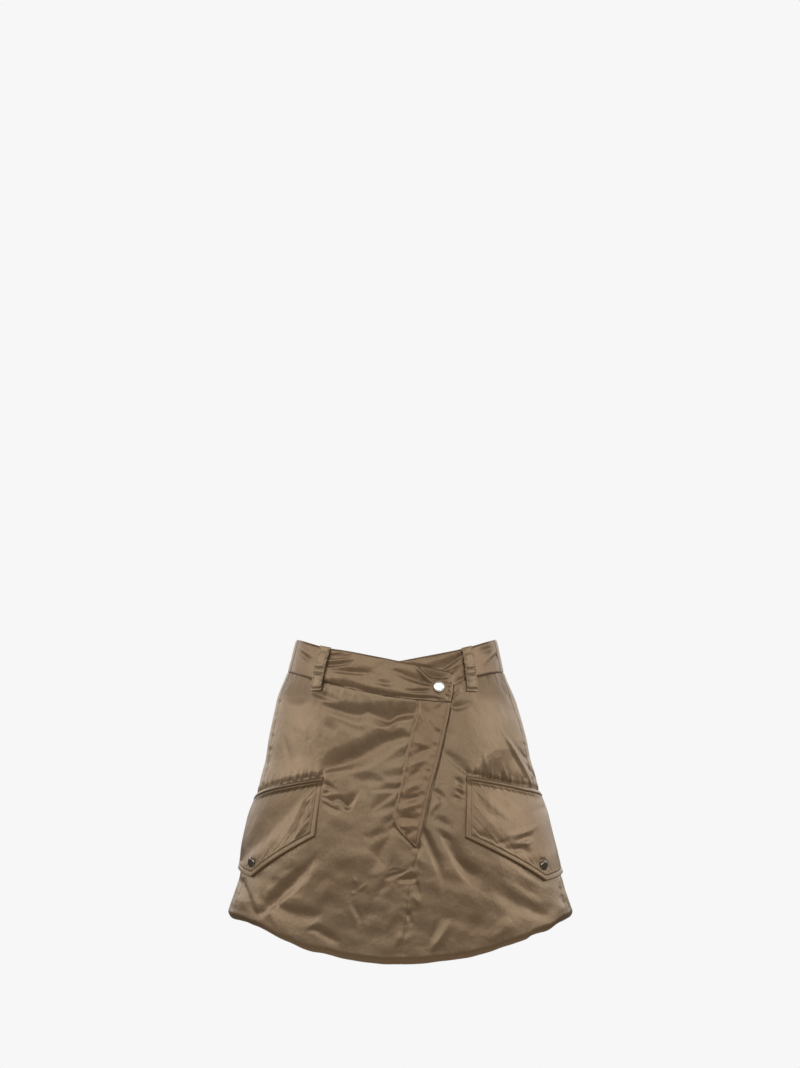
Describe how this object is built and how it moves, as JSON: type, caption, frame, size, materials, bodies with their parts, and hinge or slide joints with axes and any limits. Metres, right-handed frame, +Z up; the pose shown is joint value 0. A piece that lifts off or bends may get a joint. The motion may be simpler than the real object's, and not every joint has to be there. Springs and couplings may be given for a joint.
{
  "type": "cargo utility skirt",
  "caption": "Short A-line padded satin skirt, worn form, with a crossed snap waistband, slanting fly placket, belt loops, pointed side cargo flaps and a turned-under curved hem.",
  "frame": {"origin": "centre of the waist opening, half way up the waistband at its sides, where the wearer's waist holds the skirt", "axes": "+Z up the body, +X to the wearer's left, the front faces -Y"},
  "size_m": [0.435, 0.2883, 0.4052],
  "materials": {
    "satin": "lustrous bronze-brown satin over thin padding",
    "snap_metal": "polished nickel"
  },
  "bodies": {
    "root": {"front_right": "satin", "front_left": "satin", "back_right": "satin", "back_left": "satin", "waistband_right": "satin", "waistband_left": "satin", "waistband_back": "satin", "fly_placket": "satin", "belt_loop_front_right": "satin", "belt_loop_front_left": "satin", "belt_loop_back_right": "satin", "belt_loop_back_left": "satin", "belt_loop_back_centre": "satin", "pocket_flap_right": "satin", "pocket_flap_left": "satin", "waist_snap": "snap_metal", "flap_snap_right": "snap_metal", "flap_snap_left": "snap_metal"}
  },
  "joints": []
}
